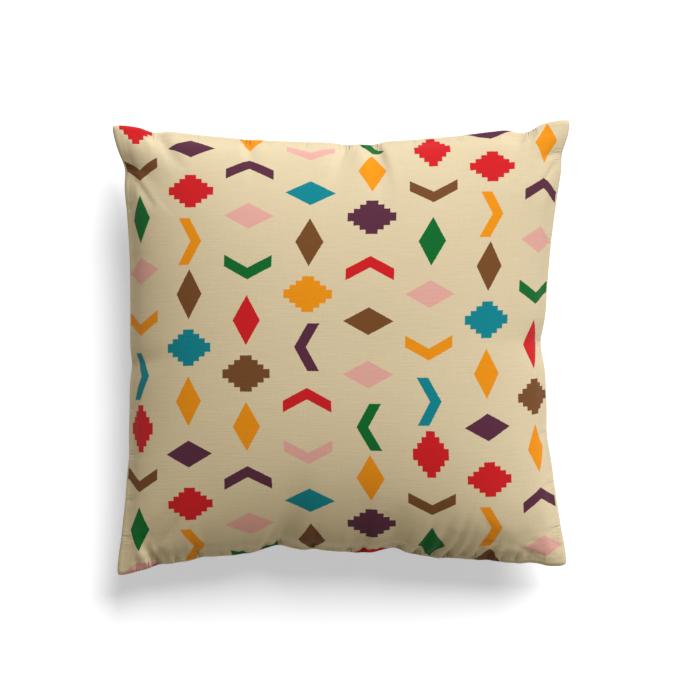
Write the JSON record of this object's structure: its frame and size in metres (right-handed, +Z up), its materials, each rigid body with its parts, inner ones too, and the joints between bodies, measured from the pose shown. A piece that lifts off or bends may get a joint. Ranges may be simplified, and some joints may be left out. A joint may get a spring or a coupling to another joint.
{
  "type": "scatter cushion",
  "caption": "Square filled scatter cushion with a printed kilim-style cover, crowned faces, drawn-in sides, four ears and a knife-edge seam, lying on its back.",
  "frame": {"origin": "on the resting surface, under the middle of the cushion's box", "axes": "+Z up through the cushion's thickness, +Y towards the top side of its printed face, +X to the right of that face"},
  "size_m": [0.444, 0.4432, 0.1323],
  "materials": {
    "printed_cloth": "matte plain-weave cloth, cream ground with a printed geometric pattern in seven colours"
  },
  "bodies": {
    "root": {"cushion": "printed_cloth"}
  },
  "joints": []
}
